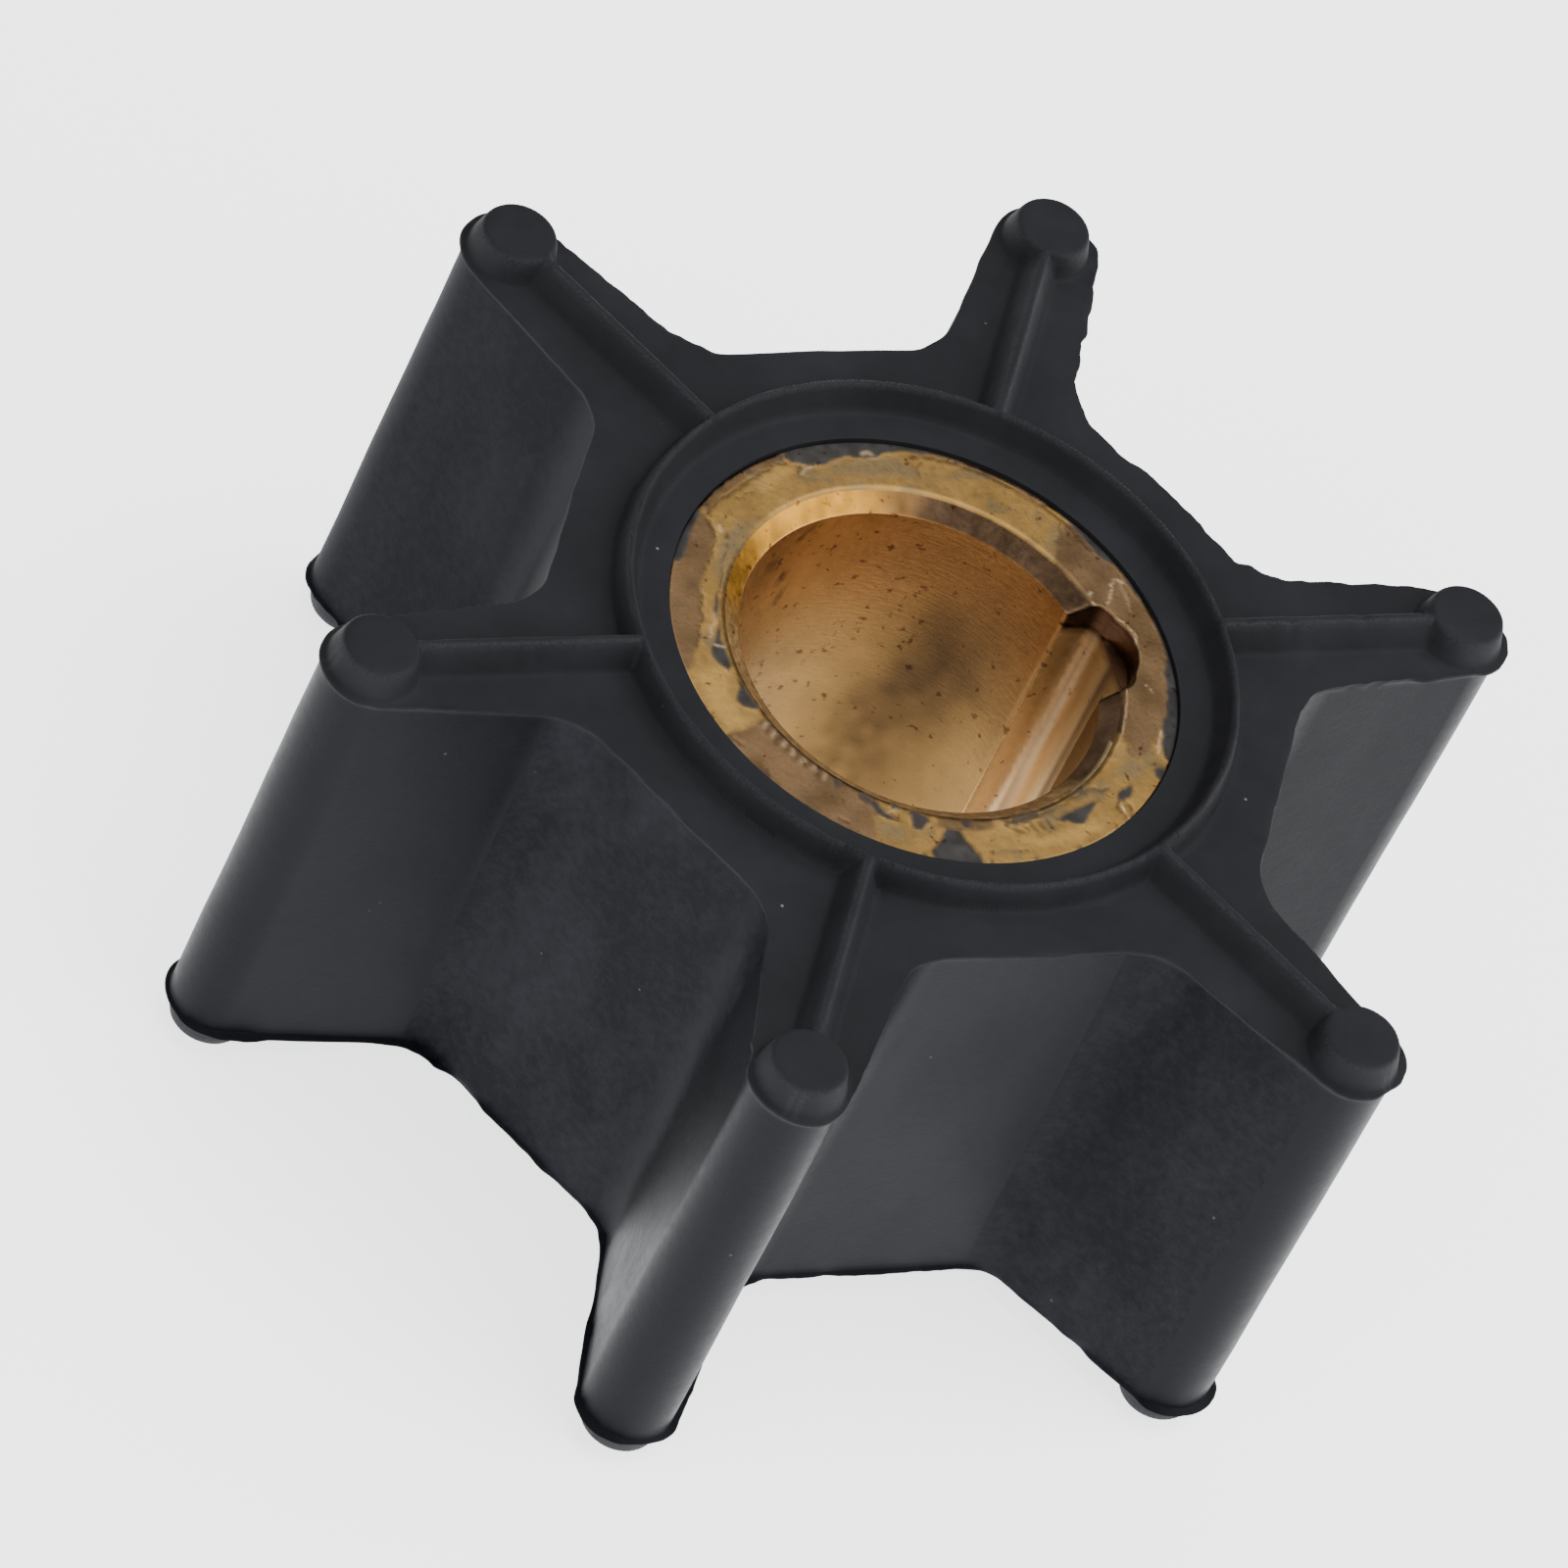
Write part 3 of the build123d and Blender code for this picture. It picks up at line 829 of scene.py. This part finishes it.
def key_colour(verts):
    """Golden bands along the keyway's floor with a painted highlight, brown sides, painted shade towards the
    top and in the pocket, and a painted dark line at the pocket's floor.
    """
    z = verts[:, 2]
    across = verts[:, 1] + 0.08 * noise3(verts * [1, 1, 0.3], 0.8, 88)
    key = np.stack([np.interp(across, KEY_BANDS[:, 0], KEY_BANDS[:, k]) for k in (1, 2, 3)], -1)
    key *= (1 + 0.18 * noise3(verts * [1, 3, 0.4], 1, 90))[:, None]
    # painted shade: the keyway, and most of all its painted highlight, darker towards the top
    fade = 0.33 + 0.37 * ramp(-across, 0.2, 1.2) - 0.16 * ramp(across, 1.6, 1.95)
    key *= (1 - fade * ramp(z, 11, 19.5))[:, None]
    # painted shade in the pocket, and a painted dark line where its floor meets the keyway
    key = blend(key, ramp(z, LEDGE - 0.5, LEDGE - 0.1), POCKET_SHADE)
    return key * (1 - 0.6 * bell(z, LEDGE, 0.08))[:, None]


def brass_paint(verts):
    """Colour of the metal, how far it is covered and pitted, and the height of its marks."""
    r, azimuth = polar(verts)
    azimuth = (np.degrees(azimuth) + 180) % 360 - 180
    z = verts[:, 2]
    depth = np.minimum(z - BUSH_BOTTOM, BUSH_TOP - z)
    top = z > BUSH_TOP - EDGE_ROUND
    face = top | (z < BUSH_BOTTOM + EDGE_ROUND)
    marks = face_marks(np.where(top[:, None], verts, verts * [-1, 1, 1]))
    bore = bore_colour(verts, azimuth)
    on_cone = 1 - ramp(depth, LEAD_LENGTH - 0.06, LEAD_LENGTH + 0.02)
    bore = blend(bore, on_cone, cone_colour(verts, azimuth))
    # painted highlight: a bright band just inside both rims on the near side
    near_rim_highlight = np.where((azimuth > -170) & (azimuth < -35), 1, 0)
    highlight_band = ramp(depth, 0.005, 0.03) * (1 - ramp(depth, 0.12, 0.2))
    bore = blend(bore, near_rim_highlight * highlight_band, RIM_HIGHLIGHT)
    inner = ~face & (r < BUSH_RADIUS - 0.2)
    colour = np.where(inner[:, None], bore, face_colour(verts, marks))
    in_key = inner & (np.abs(verts[:, 1]) < KEY_HALF + 0.3) & (verts[:, 0] > 0) & (r > BORE_RADIUS + 0.06)
    in_key &= (depth > LEAD_LENGTH) | (r > BORE_RADIUS + LEAD_WIDTH + 0.05)
    colour = np.where(in_key[:, None], key_colour(verts), colour)
    film, _, _, _, dark, light = marks
    cover = np.maximum(film, 0.5 * dark) * face
    pitted = np.where(inner, ramp(azimuth, 35, 70) * ramp(z, 6, 12), 0)
    height = np.where(top, 0.02 * film - 0.025 * dark + 0.01 * light, 0)
    return np.clip(colour, 0.004, 1), cover, pitted, height


# ---- materials
BUMP_DEPTH = 0.03 * MM


def new_material(name):
    """A material with its node tree and its shader."""
    material = bpy.data.materials.new(name)
    material.use_nodes = True
    return material, material.node_tree, material.node_tree.nodes["Principled BSDF"]


def add_node(tree, kind, inputs=(), **settings):
    """A node with its settings, and inputs set or linked to sockets."""
    node = tree.nodes.new(kind)
    for key, value in settings.items():
        setattr(node, key, value)
    for key, value in dict(inputs).items():
        if isinstance(value, bpy.types.NodeSocket):
            tree.links.new(value, node.inputs[key])
        else:
            node.inputs[key].default_value = value
    return node


def noise_node(tree, place, scale, detail=3, roughness=0.55):
    """Noise over the object; scale is in cells per millimetre."""
    return add_node(tree, "ShaderNodeTexNoise", {"Vector": place, "Scale": scale / MM, "Detail": detail,
                                                 "Roughness": roughness}).outputs["Fac"]


def fit(tree, value, low, high, to_low=0, to_high=1):
    """The value mapped from one range onto another, and clamped."""
    return add_node(tree, "ShaderNodeMapRange", {"Value": value, "From Min": low, "From Max": high,
                                                 "To Min": to_low, "To Max": to_high}).outputs["Result"]


def mix(tree, share, first, second, mode="MIX"):
    """Two colours, each a socket or three values, mixed by a share."""
    first, second = ((*c, 1) if isinstance(c, tuple) else c for c in (first, second))
    return add_node(tree, "ShaderNodeMix", {0: share, 6: first, 7: second},
                    data_type="RGBA", blend_type=mode).outputs[2]


def calculate(tree, operation, first, second):
    """Sum or product of two sockets or values."""
    return add_node(tree, "ShaderNodeMath", {0: first, 1: second}, operation=operation).outputs[0]


def weighted_sum(tree, first, weight, second):
    """First times weight, plus second."""
    return calculate(tree, "ADD", calculate(tree, "MULTIPLY", first, weight), second)


def attribute(tree, name, output="Fac"):
    """A value or colour stored at the vertices."""
    return add_node(tree, "ShaderNodeAttribute", attribute_name=name).outputs[output]


def white_specks(tree, place):
    """Share of small bright specks, scattered thinly."""
    cells = add_node(tree, "ShaderNodeTexVoronoi", {"Vector": place, "Scale": 0.5 / MM, "Randomness": 1})
    near = fit(tree, cells.outputs["Distance"], 0.015, 0.04, 1, 0)
    chance = add_node(tree, "ShaderNodeSeparateColor", {0: cells.outputs["Color"]}).outputs[0]
    return calculate(tree, "MULTIPLY", near, fit(tree, chance, 0.68, 0.7))


def finish_shader(tree, shader, base, roughness, level, height, strength=0.35):
    """Colour, roughness, reflection level and fine bumps of a surface."""
    tree.links.new(base, shader.inputs["Base Color"])
    tree.links.new(roughness, shader.inputs["Roughness"])
    shader.inputs["Specular IOR Level"].default_value = level
    bump = add_node(tree, "ShaderNodeBump", {"Height": height, "Strength": strength, "Distance": BUMP_DEPTH})
    tree.links.new(bump.outputs["Normal"], shader.inputs["Normal"])


def wall_look(name, level, dark, light, low, high):
    """Moulded rubber of the bays; colour and roughness follow the mottle."""
    material, tree, shader = new_material(name)
    place = add_node(tree, "ShaderNodeTexCoord").outputs["Object"]
    fine = noise_node(tree, place, 2.2, 5, 0.7)
    grain = noise_node(tree, place, 9, 3, 0.7)
    mottle = weighted_sum(tree, attribute(tree, "mottle"), 0.5,
                          calculate(tree, "MULTIPLY", fit(tree, fine, 0.3, 0.7), 0.5))
    base = mix(tree, fit(tree, mottle, 0.2, 0.8), dark, light)
    base = mix(tree, white_specks(tree, place), base, WALL_SPECK)
    finish_shader(tree, shader, base, fit(tree, mottle, 0.15, 0.85, low, high), level,
                  weighted_sum(tree, grain, 0.6, fine))
    shader.inputs["Specular Tint"].default_value = (0.77, 0.84, 1, 1)
    return material


def face_look():
    """Matt rubber of the end faces, lighter on worn edges."""
    material, tree, shader = new_material("rubber_face")
    place = add_node(tree, "ShaderNodeTexCoord").outputs["Object"]
    mottle = noise_node(tree, place, 1.1, 4, 0.65)
    cloud = noise_node(tree, place, 0.25, 3)
    grain = noise_node(tree, place, 9, 3, 0.7)
    worn = calculate(tree, "MULTIPLY", attribute(tree, "worn_edge"), fit(tree, grain, 0.35, 0.65))
    base = mix(tree, fit(tree, mottle, 0.3, 0.7), FACE_DARK, FACE_LIGHT)
    base = mix(tree, fit(tree, cloud, 0.4, 0.75), base, FACE_CLOUD)
    base = mix(tree, worn, base, WORN_EDGE)
    base = mix(tree, white_specks(tree, place), base, FACE_SPECK)
    finish_shader(tree, shader, base, fit(tree, mottle, 0.3, 0.7, 0.66, 0.78), 0.14,
                  weighted_sum(tree, grain, 0.8, mottle))
    return material


def brass_look():
    """Turned brass: metal where it is bare, dull where film covers it."""
    material, tree, shader = new_material("brass")
    place = add_node(tree, "ShaderNodeTexCoord").outputs["Object"]
    cover = attribute(tree, "cover")
    fine = noise_node(tree, place, 3.5, 4, 0.65)
    speck = noise_node(tree, place, 2.1, 2, 0.5)
    x, y, z = add_node(tree, "ShaderNodeSeparateXYZ", {0: place}).outputs
    rings = add_node(tree, "ShaderNodeCombineXYZ", {0: calculate(tree, "MULTIPLY", x, TURNING_STRETCH),
                                                    1: calculate(tree, "MULTIPLY", y, TURNING_STRETCH),
                                                    2: z}).outputs[0]
    turning = noise_node(tree, rings, 8, 3, 0.6)
    speck = weighted_sum(tree, attribute(tree, "pitted"), 0.045, speck)
    base = mix(tree, fit(tree, speck, 0.668, 0.75), attribute(tree, "metal", "Color"), SPECK_TINT,
                      "MULTIPLY")
    base = mix(tree, 1, base, mix(tree, fine, METAL_DARKER, METAL_LIGHTER), "MULTIPLY")
    tree.links.new(fit(tree, cover, 0, 1, 1, 0), shader.inputs["Metallic"])
    rough = calculate(tree, "ADD", fit(tree, cover, 0, 1, 0.3, 0.6), fit(tree, fine, 0.3, 0.7, 0, 0.14))
    finish_shader(tree, shader, base, rough, 0.15, weighted_sum(tree, turning, 0.8, fine), 0.3)
    return material


SMOOTH_DARK, SMOOTH_LIGHT = (0.0046, 0.0049, 0.006), (0.0068, 0.0072, 0.0086)
# colours of the dull walls, which together with their weaker reflection paint shade onto walls facing 210°
DULL_SHADED_DARK, DULL_SHADED_LIGHT = (0.0028, 0.003, 0.0042), (0.013, 0.0138, 0.0165)
# colours of the matt bay, which together with its weaker reflection paint shade onto that bay
MATT_SHADED_DARK, MATT_SHADED_LIGHT = (0.0032, 0.0035, 0.0048), (0.0125, 0.0133, 0.016)
FACE_DARK, FACE_LIGHT = (0.0082, 0.0087, 0.0104), (0.0116, 0.0122, 0.0143)
FACE_CLOUD = (0.015, 0.0155, 0.018)
WORN_EDGE = (0.026, 0.027, 0.03)
WALL_SPECK, FACE_SPECK = (0.07, 0.07, 0.07), (0.2, 0.2, 0.2)
SPECK_TINT = (0.46, 0.34, 0.34)
METAL_DARKER, METAL_LIGHTER = (0.72, 0.72, 0.72), (1.28, 1.26, 1.2)
TURNING_STRETCH = 0.12  # of the turning marks, round the axis against along it

# In the order of the slots: smooth walls, end faces, dull walls with painted shade, the matt bay with painted
# shade, and the vane wall by the keyway with painted shade
rubber_looks = [
    wall_look("rubber_wall", 0.068, SMOOTH_DARK, SMOOTH_LIGHT, 0.34, 0.48),
    face_look(),
    wall_look("rubber_wall_dull_shaded", 0.052, DULL_SHADED_DARK, DULL_SHADED_LIGHT, 0.4, 0.52),
    wall_look("rubber_wall_matt_shaded", 0.052, MATT_SHADED_DARK, MATT_SHADED_LIGHT, 0.52, 0.64),
    wall_look("rubber_wall_key_vane_shaded", 0.05, SMOOTH_DARK, SMOOTH_LIGHT, 0.36, 0.5),
]
rubber = make_object("rubber_vane_skin", *rubber_mesh(), rubber_looks)
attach(rubber, "root")
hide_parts("rubber_vane_body")
brass = make_object("brass_bush_skin", *brass_mesh(), [brass_look()])
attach(brass, "root")
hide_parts("brass_bush")

# ---- camera
CAMERA_UNIT = 23.8  # millimetres, in which distance and shifts are counted
CAMERA_AZIMUTH, CAMERA_ELEVATION, CAMERA_ROLL = -127.8346, 46.4358, 27.4882
CAMERA_DISTANCE, SHIFT_RIGHT, SHIFT_UP = 20.2514, 0.0928, -0.0505
FRAME_PIXELS = 1600
FOCAL_PIXELS = 12235.51
SENSOR_WIDTH = 36


def direction(azimuth, elevation):
    """Unit vector at angles in degrees."""
    a, e = radians(azimuth), radians(elevation)
    return Vector((cos(e) * cos(a), cos(e) * sin(a), sin(e)))


def add_camera():
    """Camera that looks down at the object, and is rolled."""
    away = direction(CAMERA_AZIMUTH, CAMERA_ELEVATION)
    level = direction(CAMERA_AZIMUTH + 90, 0)
    axes = Matrix((level, away.cross(level), away)).transposed()
    axes = axes @ Matrix.Rotation(radians(CAMERA_ROLL), 3, "Z")
    place = axes.to_4x4()
    offset = axes @ Vector((-SHIFT_RIGHT, -SHIFT_UP, CAMERA_DISTANCE))
    place.translation = Vector((0, 0, MIDDLE * MM)) + CAMERA_UNIT * MM * offset
    lens = bpy.data.cameras.new("camera")
    lens.sensor_width = SENSOR_WIDTH
    lens.lens = FOCAL_PIXELS / FRAME_PIXELS * SENSOR_WIDTH
    lens.clip_start = 0.01
    camera = add_object("camera", lens)
    camera.matrix_world = place
    bpy.context.scene.camera = camera


add_camera()

# ---- floor and light
FLOOR_HALF = 1.5  # metres

floor_mesh = bpy.data.meshes.new("floor")
corners = [(x * FLOOR_HALF, y * FLOOR_HALF, 0) for x, y in ((-1, -1), (1, -1), (1, 1), (-1, 1))]
floor_mesh.from_pydata(corners, [], [(0, 1, 2, 3)])
floor = add_object("floor", floor_mesh)
floor_material, _, floor_shader = new_material("floor")
for socket, value in (("Base Color", (0.85, 0.85, 0.85, 1)), ("Roughness", 0.9),
                      ("Emission Color", (0.97, 0.985, 1, 1)), ("Emission Strength", 2.2)):
    floor_shader.inputs[socket].default_value = value
floor_mesh.materials.append(floor_material)


def area_light(name, azimuth, elevation, distance, size, power):
    """A square soft light that looks at the object."""
    light = bpy.data.lights.new(name, "AREA")
    light.energy = power
    light.size = size
    lamp = add_object(name, light)
    aim = direction(azimuth, elevation)
    lamp.location = aim * distance
    lamp.rotation_euler = aim.to_track_quat("Z", "Y").to_euler()


area_light("key", 325, 38, 0.6, 0.75, 5)
area_light("top", 40, 75, 0.7, 0.7, 4.5)
area_light("fill", 205, 28, 0.7, 0.5, 2.5)
world = bpy.data.worlds.new("world")
bpy.context.scene.world = world
world.use_nodes = True
background = world.node_tree.nodes["Background"]
background.inputs["Color"].default_value = (0.97, 0.98, 1, 1)
background.inputs["Strength"].default_value = 0.35
